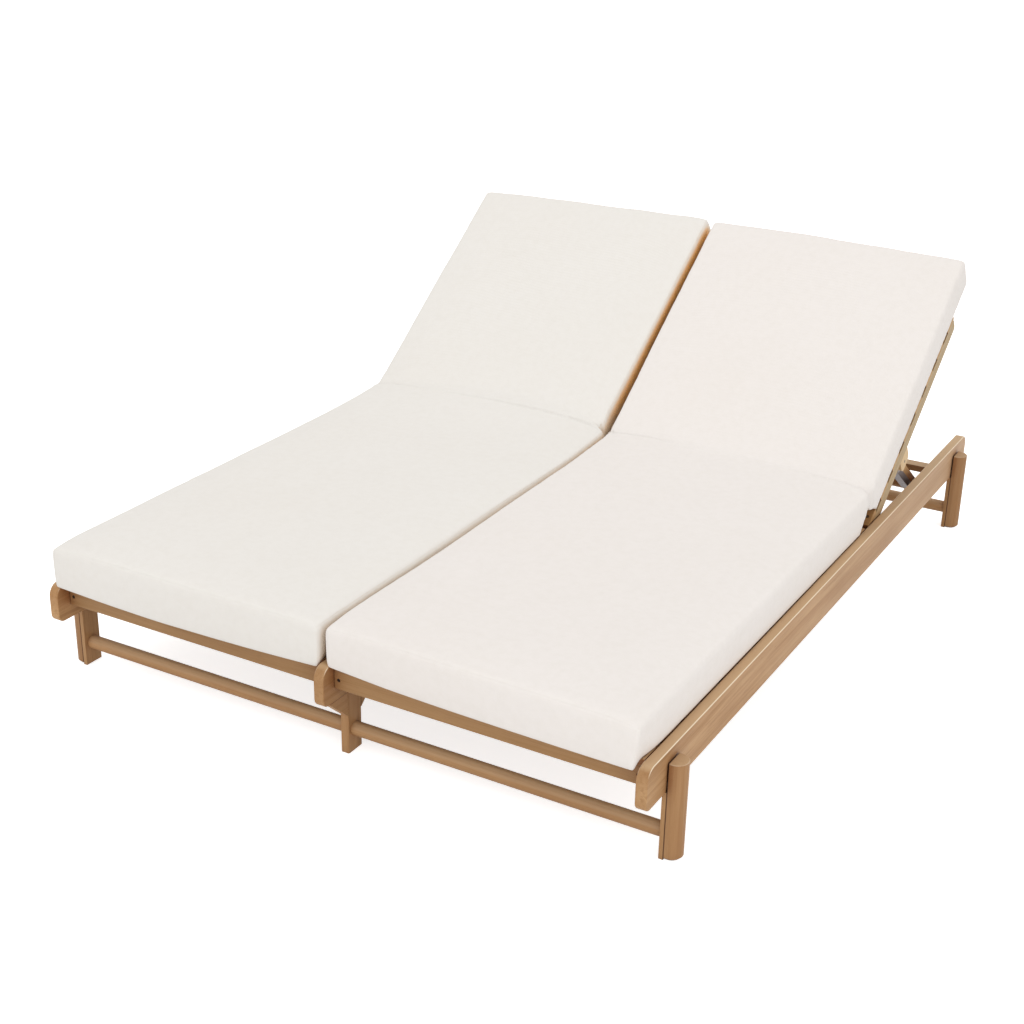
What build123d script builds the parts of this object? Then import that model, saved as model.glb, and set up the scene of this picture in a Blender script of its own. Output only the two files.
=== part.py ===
from build123d import *
import math
import os

# Double chaise lounger in millimetres. X is the width, Y runs from the foot end (-Y) to the head end (+Y)
# and Z is up from the floor. The origin is on the floor under the middle of the frame.
# Each bay is modelled on the right (+X) and mirrored for the left.

# Rails
rail_span = 1400
rail_length = 1968
rail_thickness = 23
rail_height = 86
rail_clear_height = 142
rail_nose_radius = 28
rail_heel_radius = 17
edge_easing = 2.5

# Legs
leg_width = 46
leg_block_thickness = 10
leg_post_gap = 2.5
leg_post_straight = 6
leg_post_height = 203
leg_post_top_easing = 2
leg_post_foot_bevel = 5
leg_groove = 0.8
front_leg_setback = 82
rear_leg_setback = 75
center_leg_thickness = 19
gusset_reach = 57
gusset_height = 55
gusset_tip = 4

# Stretcher dowels
stretcher_radius = 15
stretcher_height = 49
stretcher_socket = 6

# Cross rails and seat ledgers
front_rail_setback = 36
cross_rail_thickness = 22
cross_rail_height = 40
cross_rail_gap = 1.2
ledger_thickness = 22
rear_rail_width = 34
rear_rail_thickness = 17
rear_rail_leg_gap = 4
rear_rail_drop = 4
board_easing = 1.5

# Slats
slat_thickness = 15
slat_width = 49
slat_end_gap = 1
seat_slat_count = 14
back_slat_count = 8
back_slat_start = 5
back_slat_thickness = 17

# Backrests, whose own measures run along the stile from the hinge and square to it
back_angle = 35.6
back_angle_max = 55
hinge_to_deck_end = 34
hinge_drop = 26
stile_thickness = 22
stile_gap = 1
stile_drop = 25.5
stile_length = 656
stile_tail = 20
stile_tail_radius = 15
stile_head_radius = 9

# Props
prop_block_start = 225
prop_block_length = 52
prop_block_depth = 43
prop_block_nose = 17
prop_pivot_reach = 250
prop_pivot_drop = 50
prop_angle = 34
prop_length = 246.5
prop_arm_thickness = 18
prop_arm_radius = 18
prop_arm_gap = 4
prop_bar_radius = 14
prop_bar_end_gap = 2
prop_plate_thickness = 2.5
prop_plate_width = 15
prop_plate_end_gap = 37.5
prop_plate_start = 44
prop_plate_bolt_inset = 16

# Racks under the prop bars
rack_thickness = 20
rack_front_reach = 300
rack_rear_margin = 4
rack_rear_gap = 74.4
rack_depth = 46
rack_stile_clearance = 1
rack_bar_clearance = 2.5
rack_notch_depth = 6
rack_samples = 12
rack_seat_angles = (20, 46)
rack_sweep_angles = (0, 4, 8, 12, 16, 24, 28, 32, 41, 51)

# Fasteners
bolt_radius = 4
bolt_head_radius = 8
bolt_head_height = 5
bolt_clearance = 0.05
leg_bolt_rise = 15
leg_bolt_spread = 24
leg_bolt_reach = 18
spacer_radius = 9
hinge_bolt_reach = 9
hinge_head_gap = 0.5
pin_radius = 5
pin_length = 60
pin_spread = 24
screw_radius = 2
screw_head_radius = 4
screw_head_depth = 2.5
screw_recess = 1.5
slat_screw_length = 24
cross_screw_length = 50
plate_screw_length = 14

# Cushions
cushion_overhang = 2.5
cushion_front_setback = 5
cushion_foot_edge = 78
cushion_back_edge = 86
cushion_crown = 5
cushion_side_bulge = 4
cushion_draw_in = 3
cushion_seat_gap = 0.4
cushion_fold_gap = 0.6
cushion_back_length = 765
cushion_rounding = 9

# Derived places
rail_top = rail_clear_height + rail_height
foot_end = -rail_length / 2
head_end = rail_length / 2
bay_inner = rail_thickness / 2
bay_outer = rail_span / 2 - rail_thickness
bay_width = bay_outer - bay_inner
bay_center = (bay_outer + bay_inner) / 2
front_leg_y = foot_end + front_leg_setback + leg_width / 2
rear_leg_y = head_end - rear_leg_setback - leg_width / 2
leg_rows = {"front": front_leg_y, "rear": rear_leg_y}
post_flat_x = rail_span / 2 + leg_post_gap
block_inner_x = post_flat_x - leg_block_thickness
front_rail_y = foot_end + front_rail_setback
deck_top = rail_top
ledger_top = deck_top - slat_thickness
ledger_bottom = ledger_top - cross_rail_height
hinge_z = deck_top - hinge_drop
stile_top = hinge_drop - back_slat_thickness
stile_outer_x = bay_outer - stile_gap
stile_inner_x = stile_outer_x - stile_thickness
stile_center_x = stile_outer_x - stile_thickness / 2
rear_rail_y = rear_leg_y - leg_width / 2 - rear_rail_leg_gap - rear_rail_width
rack_high_y = rear_rail_y - rack_rear_gap
rear_rail_top = hinge_z - stile_drop - rear_rail_drop
arm_outer_x = stile_inner_x - prop_arm_gap
arm_inner_x = arm_outer_x - prop_arm_thickness
prop_plate_length = prop_length - prop_plate_start - prop_plate_end_gap
rack_outer_x = bay_outer
rack_inner_x = rack_outer_x - rack_thickness
cushion_width = bay_width + cushion_overhang
cushion_center_x = bay_center + slat_end_gap / 2
prop_rest_turn = prop_angle + back_angle
prop_fold_ratio = -prop_rest_turn / back_angle


def pivot_from_hinge(angle):
    # The prop's pivot, from the hinge, when the backrest leans by this angle.
    turn = math.radians(angle)
    along = prop_pivot_reach * math.cos(turn) + prop_pivot_drop * math.sin(turn)
    rise = prop_pivot_reach * math.sin(turn) - prop_pivot_drop * math.cos(turn)
    return along, rise


def bar_from_hinge(angle):
    # The bar's centre, from the hinge, while the prop follows the backrest.
    along, rise = pivot_from_hinge(angle)
    fold = -prop_rest_turn + prop_fold_ratio * (angle - back_angle)
    turn = math.radians(angle + fold)
    return along + prop_length * math.cos(turn), rise + prop_length * math.sin(turn)


# The hinge stands where the rack under the prop ends just short of the rear cross rail
hinge_y = rack_high_y - rack_rear_margin - bar_from_hinge(rack_seat_angles[0])[0]
deck_end_y = hinge_y - hinge_to_deck_end
mid_rail_y = deck_end_y - cross_rail_thickness


def prop_pivot(angle):
    along, rise = pivot_from_hinge(angle)
    return hinge_y + along, hinge_z + rise


def prop_bar_place(angle):
    along, rise = bar_from_hinge(angle)
    return hinge_y + along, hinge_z + rise


def slab(x_low, x_high, y_low, y_high, z_low, z_high):
    middle = ((x_low + x_high) / 2, (y_low + y_high) / 2, (z_low + z_high) / 2)
    return Pos(*middle) * Box(x_high - x_low, y_high - y_low, z_high - z_low)


def side_plane(x_low):
    # Sketch X is the lounger's Y and sketch Y is its Z.
    return Plane(origin=(x_low, 0, 0), x_dir=(0, 1, 0), z_dir=(1, 0, 0))


def rod_x(x_low, x_high, y, z, radius):
    middle = Pos((x_low + x_high) / 2, y, z)
    return middle * Rot(0, 90, 0) * Cylinder(radius, x_high - x_low)


def eased(board, radius, axis):
    return fillet(board.edges().filter_by(axis), radius)


def for_side(shape, side):
    return shape if side == "right" else mirror(shape, about=Plane.YZ)


def bay_pair(outer):
    # The outer piece of a bay and its twin beside the centre rail.
    inner = mirror(outer, about=Plane.YZ.offset(bay_center))
    return [outer, inner]


def group(pieces):
    return Compound(children=pieces)


def save(name, shape):
    shape.label = name
    export_step(shape, f"parts/{name}.step")


def at_backrest(shape, angle=back_angle):
    # Moves a piece from the backrest's own measures to its leaning place.
    return Pos(0, hinge_y, hinge_z) * Rot(angle, 0, 0) * shape


def at_prop(shape):
    # Moves a piece from the prop's own measures, along its arm from the pivot, to its place.
    pivot = prop_pivot(back_angle)
    return Pos(0, pivot[0], pivot[1]) * Rot(-prop_angle, 0, 0) * shape


def countersunk_screw(length):
    # Driven straight down, its head's top face at the origin.
    shank = Pos(0, 0, -length / 2) * Cylinder(screw_radius, length)
    head = Cone(screw_radius, screw_head_radius, screw_head_depth)
    return shank + Pos(0, 0, -screw_head_depth / 2) * head


# Rails and leg bolts


def leg_bolt_places():
    z = rail_clear_height + leg_bolt_rise
    places = []
    for leg_y in leg_rows.values():
        for turn in (-1, 1):
            places.append((leg_y + turn * leg_bolt_spread / 2, z))
    return places


def rail_outline():
    outline = Pos(0, rail_clear_height + rail_height / 2) * Rectangle(rail_length, rail_height)
    outline = fillet(outline.vertices().group_by(Axis.Y)[-1], rail_nose_radius)
    return fillet(outline.vertices().group_by(Axis.Y)[0], rail_heel_radius)


def rail_board(x_low):
    board = extrude(side_plane(x_low) * rail_outline(), rail_thickness)
    faces = board.faces().sort_by(Axis.X)
    return fillet(faces[0].edges() + faces[-1].edges(), edge_easing)


def hinge_hole(x_low, x_high):
    return rod_x(x_low, x_high, hinge_y, hinge_z, bolt_radius)


def outer_rail():
    rail = rail_board(bay_outer)
    for y, z in leg_bolt_places():
        rail -= rod_x(bay_outer, bay_outer + rail_thickness, y, z, bolt_radius)
    return rail - hinge_hole(bay_outer, bay_outer + hinge_bolt_reach)


def center_rail():
    rail = rail_board(-bay_inner)
    for side in (-1, 1):
        tip = side * (bay_inner - hinge_bolt_reach)
        rail -= hinge_hole(min(tip, side * bay_inner), max(tip, side * bay_inner))
    for leg_y in leg_rows.values():
        for pin in leg_pins(leg_y):
            rail -= pin
    return rail


# Legs


def post_profile():
    half = leg_width / 2
    corner = Line((0, -half), (leg_post_straight, -half))
    nose = ThreePointArc((leg_post_straight, -half), (leg_post_straight + half, 0), (leg_post_straight, half))
    back = Line((leg_post_straight, half), (0, half))
    flat = Line((0, half), (0, -half))
    return make_face([corner, nose, back, flat])


def leg_post(leg_y):
    profile = Plane(origin=(post_flat_x, leg_y, 0)) * post_profile()
    post = extrude(profile, leg_post_height)
    flat = post.faces().sort_by(Axis.X)[0]
    post = chamfer(flat.edges().filter_by(Axis.Z), leg_groove)
    reach = post_flat_x + leg_post_straight / 2
    top = post.faces().sort_by(Axis.Z)[-1].edges().filter_by(lambda e: e.center().X > reach)
    post = fillet(top, leg_post_top_easing)
    foot = post.faces().sort_by(Axis.Z)[0].edges().filter_by(lambda e: e.center().X > reach)
    post = chamfer(foot, leg_post_foot_bevel)
    for y, z in leg_bolt_places():
        post -= rod_x(post_flat_x, post_flat_x + leg_bolt_reach, y, z, bolt_radius)
    return post


def stretcher_hole(leg_y, x_low, x_high):
    return rod_x(x_low, x_high, leg_y, stretcher_height, stretcher_radius)


def leg_block(leg_y):
    half = leg_width / 2
    block = slab(block_inner_x, post_flat_x, leg_y - half, leg_y + half, 0, rail_clear_height)
    outer = block.faces().sort_by(Axis.X)[-1]
    block = chamfer(outer.edges().filter_by(Axis.Z), leg_groove)
    inner = block.faces().sort_by(Axis.X)[0]
    block = fillet(inner.edges().filter_by(Axis.Z), board_easing)
    return block - stretcher_hole(leg_y, block_inner_x, block_inner_x + stretcher_socket)


def leg_pins(leg_y):
    # Two upright dowel pins joining a centre leg to the centre rail.
    pins = []
    for turn in (-1, 1):
        place = Pos(0, leg_y + turn * pin_spread / 2, rail_clear_height)
        pins.append(place * Cylinder(pin_radius, pin_length))
    return pins


def center_leg(leg_y):
    half = leg_width / 2
    face = center_leg_thickness / 2
    leg = slab(-face, face, leg_y - half, leg_y + half, 0, rail_clear_height)
    leg = eased(leg, edge_easing, Axis.Z)
    leg -= stretcher_hole(leg_y, face - stretcher_socket, face)
    leg -= stretcher_hole(leg_y, -face, stretcher_socket - face)
    for pin in leg_pins(leg_y):
        leg -= pin
    return leg


def gusset(leg_y, direction):
    # A triangular head block under the centre rail, on the foot side (-1) or the head side (1) of a leg.
    near = leg_y + direction * leg_width / 2
    far = near + direction * gusset_reach
    low = rail_clear_height - gusset_height
    corners = [(near, low), (near, rail_clear_height), (far, rail_clear_height)]
    corners.append((far, rail_clear_height - gusset_tip))
    outline = make_face(Polyline(corners, close=True))
    shape = extrude(side_plane(-center_leg_thickness / 2) * outline, center_leg_thickness)
    return shape


def stretcher(leg_y):
    inner_x = center_leg_thickness / 2 - stretcher_socket
    return rod_x(inner_x, block_inner_x + stretcher_socket, leg_y, stretcher_height, stretcher_radius)


# Cross rails, ledgers and seat deck


def cross_screw_places():
    x = bay_outer - ledger_thickness / 2
    z = (ledger_top + ledger_bottom) / 2
    return [(x, z), (2 * bay_center - x, z)]


def cross_screw(x, z, y_head, direction):
    # A screw along Y; direction 1 drives it towards the head end.
    quarter = 90 * direction
    return Pos(x, y_head, z) * Rot(quarter, 0, 0) * countersunk_screw(cross_screw_length)


def cross_screws():
    screws = []
    for x, z in cross_screw_places():
        screws.append(cross_screw(x, z, front_rail_y + screw_recess, 1))
        screws.append(cross_screw(x, z, deck_end_y - screw_recess, -1))
    return screws


def screw_recess_hole(x, z, y_face, direction):
    depth = screw_recess
    middle = Pos(x, y_face + direction * depth / 2, z)
    return middle * Rot(90, 0, 0) * Cylinder(screw_head_radius, depth)


def cross_rail(y_low, face_y, direction):
    low = bay_inner + cross_rail_gap
    high = bay_outer - cross_rail_gap
    board = slab(low, high, y_low, y_low + cross_rail_thickness, ledger_bottom, ledger_top)
    board = eased(board, board_easing, Axis.X)
    for screw in cross_screws():
        board -= screw
    for x, z in cross_screw_places():
        board -= screw_recess_hole(x, z, face_y, direction)
    return board


def ledger():
    low = front_rail_y + cross_rail_thickness
    board = slab(bay_outer - ledger_thickness, bay_outer, low, mid_rail_y, ledger_bottom, ledger_top)
    for screw in cross_screws():
        board -= screw
    for screw in seat_slat_screws():
        board -= screw
    return board


def rear_rail():
    high = rear_rail_y + rear_rail_width
    board = slab(bay_inner, bay_outer, rear_rail_y, high, rear_rail_top - rear_rail_thickness, rear_rail_top)
    return eased(board, board_easing, Axis.X)


def seat_slat_starts():
    pitch = (deck_end_y - front_rail_y - slat_width) / (seat_slat_count - 1)
    return [front_rail_y + index * pitch for index in range(seat_slat_count)]


def seat_slat_screws():
    x = bay_outer - ledger_thickness / 2
    screws = []
    for y in seat_slat_starts()[1:-1]:
        for place in (x, 2 * bay_center - x):
            screws.append(Pos(place, y + slat_width / 2, deck_top) * countersunk_screw(slat_screw_length))
    return screws


def slat(y_low, z_low, thickness):
    low = bay_inner + slat_end_gap
    high = bay_outer - slat_end_gap
    board = slab(low, high, y_low, y_low + slat_width, z_low, z_low + thickness)
    return eased(board, board_easing, Axis.X)


def seat_slats():
    slats = []
    screws = seat_slat_screws()
    for index, y in enumerate(seat_slat_starts()):
        board = slat(y, ledger_top, slat_thickness)
        if 0 < index < seat_slat_count - 1:
            first = 2 * (index - 1)
            for screw in screws[first:first + 2]:
                board -= screw
        slats.append(board)
    return slats


# Backrests, in their own measures: Y along the stile from the hinge, Z square to it


def back_slat_starts():
    pitch = (stile_length - slat_width - back_slat_start) / (back_slat_count - 1)
    return [stile_length - slat_width - index * pitch for index in range(back_slat_count)]


def back_slat_screws():
    screws = []
    for y in back_slat_starts():
        for x in (stile_center_x, 2 * bay_center - stile_center_x):
            screws.append(Pos(x, y + slat_width / 2, hinge_drop) * countersunk_screw(slat_screw_length))
    return screws


def back_slats():
    slats = []
    screws = back_slat_screws()
    for index, y in enumerate(back_slat_starts()):
        board = slat(y, stile_top, back_slat_thickness)
        for screw in screws[2 * index:2 * index + 2]:
            board -= screw
        slats.append(board)
    return slats


def stile():
    outline = Pos((stile_length - stile_tail) / 2, (stile_top - stile_drop) / 2)
    outline *= Rectangle(stile_length + stile_tail, stile_top + stile_drop)
    outline = fillet(outline.vertices().group_by(Axis.X)[0], stile_tail_radius)
    outline = fillet(outline.vertices().group_by(Axis.X)[-1], stile_head_radius)
    board = extrude(side_plane(stile_inner_x) * outline, stile_thickness)
    board -= rod_x(stile_inner_x, stile_outer_x, 0, 0, bolt_radius + bolt_clearance)
    for screw in back_slat_screws()[0::2]:
        board -= screw
    return board


def prop_block():
    low = -stile_drop - prop_block_depth
    outline = Pos(prop_block_start + prop_block_length / 2, low + prop_block_depth / 2)
    outline *= Rectangle(prop_block_length, prop_block_depth)
    outline = fillet(outline.vertices().group_by(Axis.Y)[0], prop_block_nose)
    block = extrude(side_plane(stile_inner_x) * outline, stile_thickness)
    return block - prop_pivot_hole(bolt_radius)


def prop_pivot_hole(radius):
    return rod_x(stile_inner_x, stile_outer_x, prop_pivot_reach, -prop_pivot_drop, radius)


def hinge_bolt():
    shank = hinge_hole(stile_inner_x - hinge_head_gap, bay_outer + hinge_bolt_reach)
    head_face = stile_inner_x - hinge_head_gap
    head = rod_x(head_face - bolt_head_height, head_face, hinge_y, hinge_z, bolt_head_radius)
    return shank + head


def prop_bolt():
    y = prop_pivot_reach
    z = -prop_pivot_drop
    head_face = arm_inner_x - hinge_head_gap
    shank = rod_x(head_face, stile_outer_x, y, z, bolt_radius)
    return shank + rod_x(head_face - bolt_head_height, head_face, y, z, bolt_head_radius)


# Props, in their own measures: Y along the arm from its pivot


def prop_arm():
    hull = Pos(prop_length / 2, 0) * SlotCenterToCenter(prop_length, 2 * prop_arm_radius)
    arm = extrude(side_plane(arm_inner_x) * hull, prop_arm_thickness)
    arm -= rod_x(arm_inner_x, arm_outer_x, 0, 0, bolt_radius + bolt_clearance)
    arm -= rod_x(arm_inner_x, arm_outer_x, prop_length, 0, prop_bar_radius)
    for screw in plate_screws():
        arm -= screw
    return arm


def prop_bar():
    low = bay_inner + prop_bar_end_gap
    return rod_x(low, bay_outer - prop_bar_end_gap, prop_length, 0, prop_bar_radius)


def plate_screw_places():
    first = prop_plate_start + prop_plate_bolt_inset
    last = prop_plate_start + prop_plate_length - prop_plate_bolt_inset
    return [first, last]


def prop_plate():
    # A strip folded round the lower corner of the arm: one flange on its outer face, one under its edge.
    low = -prop_arm_radius
    high = low + prop_plate_width
    near = prop_plate_start
    far = prop_plate_start + prop_plate_length
    face = arm_outer_x + prop_plate_thickness
    plate = slab(arm_outer_x, face, near, far, low, high)
    for y in plate_screw_places():
        plate -= rod_x(arm_outer_x, face, y, plate_screw_height(), bolt_radius)
    return plate + slab(arm_inner_x, face, near, far, low - prop_plate_thickness, low)


def plate_screw_height():
    return prop_plate_width / 2 - prop_arm_radius


def plate_screws():
    # Pan head screws that hold the plate to the arm's outer face.
    face = arm_outer_x + prop_plate_thickness
    screws = []
    for y in plate_screw_places():
        shank = rod_x(face - plate_screw_length, face, y, plate_screw_height(), bolt_radius)
        head_high = face + hinge_head_gap
        head = rod_x(face, head_high, y, plate_screw_height(), bolt_head_radius - screw_recess)
        screws.append(shank + head)
    return screws


# Racks


def bar_envelope(y):
    # Height of the lowest place that the bar reaches over this Y while the backrest moves.
    reach = prop_bar_radius + rack_bar_clearance
    steps = rack_samples * rack_samples
    lowest = rail_top
    for step in range(steps + 1):
        bar_y, bar_z = prop_bar_place(back_angle_max * step / steps)
        side_step = y - bar_y
        if abs(side_step) < reach:
            lowest = min(lowest, bar_z - math.sqrt(reach * reach - side_step * side_step))
    return lowest


def rack_top_limit():
    return hinge_z - stile_drop - rack_stile_clearance


def rack():
    # A board on the inner face of a rail, whose notched top edge follows the path of the prop bar.
    y_low = hinge_y + rack_front_reach
    bottom = rack_top_limit() - rack_depth - prop_bar_radius
    corners = [(rack_high_y, bottom), (y_low, bottom)]
    for index in range(rack_samples + 1):
        y = y_low + (rack_high_y - y_low) * index / rack_samples
        corners.append((y, min(rack_top_limit(), bar_envelope(y))))
    outline = make_face(Polyline(corners, close=True))
    board = extrude(side_plane(rack_inner_x) * outline, rack_thickness)
    radius = prop_bar_radius + rack_bar_clearance
    for angle in rack_sweep_angles:
        board -= rod_x(rack_inner_x, rack_outer_x, *prop_bar_place(angle), radius)
    for angle in (*rack_seat_angles, back_angle, back_angle_max):
        y, z = prop_bar_place(angle)
        board -= rod_x(rack_inner_x, rack_outer_x, y, z - rack_notch_depth, radius)
    return board


# Fasteners of the frame


def leg_bolts():
    bolts = []
    for y, z in leg_bolt_places():
        shank = rod_x(bay_outer - bolt_head_height, post_flat_x + leg_bolt_reach, y, z, bolt_radius)
        bolts.append(shank + rod_x(bay_outer - bolt_head_height, bay_outer, y, z, bolt_head_radius))
    return bolts


def leg_spacers():
    spacers = []
    for y, z in leg_bolt_places():
        ring = rod_x(rail_span / 2, post_flat_x, y, z, spacer_radius)
        spacers.append(ring - rod_x(rail_span / 2, post_flat_x, y, z, bolt_radius))
    return spacers


# Cushions


def cushion_section(y, half_width, edge, crown, base_z):
    # Flat underside, bulging sides and a crowned top, across X at one place along the cushion.
    left = cushion_center_x - half_width
    right = cushion_center_x + half_width
    top = base_z + edge
    bulge = cushion_side_bulge / 2
    inset = cushion_side_bulge
    middle_z = base_z + edge / 2
    base = Line((left + inset, base_z), (right - inset, base_z))
    right_arc = ThreePointArc((right - inset, base_z), (right, middle_z), (right - bulge, top))
    top_arc = ThreePointArc((right - bulge, top), (cushion_center_x, top + crown), (left + bulge, top))
    left_arc = ThreePointArc((left + bulge, top), (left, middle_z), (left + inset, base_z))
    face = make_face([base, right_arc, top_arc, left_arc])
    return Plane(origin=(0, y, 0), x_dir=(1, 0, 0), z_dir=(0, -1, 0)) * face


def cushion_body(y_low, y_high, base_z, edge_low, edge_high):
    half = cushion_width / 2
    middle = (y_low + y_high) / 2
    middle_edge = (edge_low + edge_high) / 2
    sections = [
        cushion_section(y_low, half, edge_low - cushion_crown / 2, cushion_crown / 2, base_z),
        cushion_section(middle, half - cushion_draw_in, middle_edge, cushion_crown, base_z),
        cushion_section(y_high, half, edge_high - cushion_crown / 2, cushion_crown / 2, base_z),
    ]
    return loft(sections)


def fold_cut(direction):
    # The half space beyond the fold, hinged at the backrest's axis; direction 1 keeps the seat's side.
    size = rail_length
    lean = direction * back_angle_max / 2
    block = Pos(bay_center, direction * size / 2, 0) * Box(size, size, size)
    shift = Pos(0, -direction * cushion_fold_gap / 2, 0)
    return Rot(lean, 0, 0) * shift * block


def rounded_end(cushion, pick):
    face = cushion.faces().sort_by(Axis.Y)[pick]
    return fillet(face.edges(), cushion_rounding)


def seat_cushion():
    base = deck_top + cushion_seat_gap
    y_low = foot_end + cushion_front_setback
    cushion = cushion_body(y_low, hinge_y + cushion_crown, base, cushion_foot_edge, cushion_back_edge)
    cushion = rounded_end(cushion, 0)
    return cushion - Pos(0, hinge_y, hinge_z) * fold_cut(1)


def back_cushion():
    base = hinge_drop + cushion_seat_gap
    cushion = cushion_body(-cushion_crown, cushion_back_length, base, cushion_back_edge, cushion_back_edge)
    cushion = rounded_end(cushion, -1)
    return cushion - fold_cut(-1)


# Every node


def write_frame():
    save("rail_center", center_rail())
    pins = []
    gussets = []
    for row, leg_y in leg_rows.items():
        save(f"leg_center_{row}", center_leg(leg_y))
        pins += leg_pins(leg_y)
        gussets += [gusset(leg_y, -1), gusset(leg_y, 1)]
    save("leg_center_pins", group(pins))
    save("leg_center_gussets", group(gussets))
    bolts = []
    spacers = []
    rail_screws = []
    slat_screws = []
    for side in ("left", "right"):
        save(f"rail_{side}", for_side(outer_rail(), side))
        for row, leg_y in leg_rows.items():
            save(f"leg_post_{row}_{side}", for_side(leg_post(leg_y), side))
            save(f"leg_block_{row}_{side}", for_side(leg_block(leg_y), side))
            save(f"stretcher_{row}_{side}", for_side(stretcher(leg_y), side))
        save(f"cross_rail_front_{side}", for_side(cross_rail(front_rail_y, front_rail_y, 1), side))
        save(f"cross_rail_middle_{side}", for_side(cross_rail(mid_rail_y, deck_end_y, -1), side))
        save(f"cross_rail_rear_{side}", for_side(rear_rail(), side))
        save(f"seat_ledgers_{side}", group([for_side(piece, side) for piece in bay_pair(ledger())]))
        save(f"seat_slats_{side}", group([for_side(piece, side) for piece in seat_slats()]))
        save(f"prop_racks_{side}", group([for_side(piece, side) for piece in bay_pair(rack())]))
        save(f"seat_cushion_{side}", for_side(seat_cushion(), side))
        bolts += [for_side(piece, side) for piece in leg_bolts()]
        spacers += [for_side(piece, side) for piece in leg_spacers()]
        rail_screws += [for_side(piece, side) for piece in cross_screws()]
        slat_screws += [for_side(piece, side) for piece in seat_slat_screws()]
    save("leg_bolts", group(bolts))
    save("leg_spacers", group(spacers))
    save("cross_rail_screws", group(rail_screws))
    save("seat_slat_screws", group(slat_screws))
    hinge_bolts = [for_side(bolt, side) for side in ("left", "right") for bolt in bay_pair(hinge_bolt())]
    save("hinge_bolts", group(hinge_bolts))


def write_backrest(side):
    outer_stile, inner_stile = bay_pair(stile())
    save(f"back_stile_outer_{side}", for_side(at_backrest(outer_stile), side))
    save(f"back_stile_inner_{side}", for_side(at_backrest(inner_stile), side))
    leaning = {
        "back_slats": back_slats(),
        "back_slat_screws": back_slat_screws(),
        "prop_blocks": bay_pair(prop_block()),
        "prop_bolts": bay_pair(prop_bolt()),
    }
    for name, pieces in leaning.items():
        save(f"{name}_{side}", group([for_side(at_backrest(piece), side) for piece in pieces]))
    save(f"back_cushion_{side}", for_side(at_backrest(back_cushion()), side))


def write_prop(side):
    propped = {
        "prop_arms": bay_pair(prop_arm()),
        "prop_plates": bay_pair(prop_plate()),
        "prop_plate_screws": [half for screw in plate_screws() for half in bay_pair(screw)],
    }
    for name, pieces in propped.items():
        save(f"{name}_{side}", group([for_side(at_prop(piece), side) for piece in pieces]))
    save(f"prop_bar_{side}", for_side(at_prop(prop_bar()), side))


os.makedirs("parts", exist_ok=True)
write_frame()
for side in ("left", "right"):
    write_backrest(side)
    write_prop(side)
print("hinge", hinge_y, hinge_z, "prop pivot", prop_pivot(back_angle), "fold ratio", prop_fold_ratio)
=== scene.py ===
import math

import bmesh
import bpy
import numpy as np
from mathutils import Matrix, Vector, noise
from mathutils.bvhtree import BVHTree


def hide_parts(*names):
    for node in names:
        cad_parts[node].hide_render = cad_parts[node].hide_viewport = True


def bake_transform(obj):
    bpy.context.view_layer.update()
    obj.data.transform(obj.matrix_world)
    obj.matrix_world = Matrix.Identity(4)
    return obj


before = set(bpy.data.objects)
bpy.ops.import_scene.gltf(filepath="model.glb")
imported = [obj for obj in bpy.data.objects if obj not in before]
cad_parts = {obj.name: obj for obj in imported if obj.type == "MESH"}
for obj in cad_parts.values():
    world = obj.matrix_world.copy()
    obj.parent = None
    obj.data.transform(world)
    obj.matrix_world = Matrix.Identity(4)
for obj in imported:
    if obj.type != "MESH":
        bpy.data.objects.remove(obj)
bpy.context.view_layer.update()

scene = bpy.context.scene
scene.view_settings.view_transform = "Standard"
print("frame loaded, nodes:", len(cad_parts))


# Camera, in the place where the photograph was taken from

photoCamera = {
    "place": (1.6801, -3.2000, 1.7493),
    "yaw": 0.51653,
    "pitch": 0.40634,
    "roll": 0.01834,
    "lens": 57.568,
    "sensor": 36.0,
}


def makeCamera(view):
    ahead = Vector((-math.sin(view["yaw"]) * math.cos(view["pitch"]),
                    math.cos(view["yaw"]) * math.cos(view["pitch"]),
                    -math.sin(view["pitch"])))
    level = Vector((math.cos(view["yaw"]), math.sin(view["yaw"]), 0))
    above = level.cross(ahead)
    right = level * math.cos(view["roll"]) + above * math.sin(view["roll"])
    up = above * math.cos(view["roll"]) - level * math.sin(view["roll"])
    data = bpy.data.cameras.new("photoCamera")
    data.lens = view["lens"]
    data.sensor_width = view["sensor"]
    camera = bpy.data.objects.new("photoCamera", data)
    scene.collection.objects.link(camera)
    turn = Matrix((right, up, -ahead)).transposed().to_4x4()
    camera.matrix_world = Matrix.Translation(view["place"]) @ turn
    scene.camera = camera


makeCamera(photoCamera)


# Node helpers


def addNode(tree, kind, values=None, **settings):
    node = tree.nodes.new(kind)
    for key, value in settings.items():
        setattr(node, key, value)
    for key, value in (values or {}).items():
        node.inputs[key].default_value = value
    return node


def join(tree, output, target):
    tree.links.new(output, target)


def newGroup(name, inputs, outputs):
    group = bpy.data.node_groups.new(name, "ShaderNodeTree")
    for label, kind, value in inputs:
        socket = group.interface.new_socket(label, in_out="INPUT", socket_type=kind)
        if value is not None:
            socket.default_value = value
    for label, kind in outputs:
        group.interface.new_socket(label, in_out="OUTPUT", socket_type=kind)
    start = group.nodes.new("NodeGroupInput")
    end = group.nodes.new("NodeGroupOutput")
    return group, start, end


def mathNode(tree, operation, first, second=None):
    node = addNode(tree, "ShaderNodeMath", operation=operation)
    for index, value in enumerate((first, second)):
        if value is None:
            continue
        if isinstance(value, (int, float)):
            node.inputs[index].default_value = value
        else:
            join(tree, value, node.inputs[index])
    return node.outputs[0]


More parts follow.
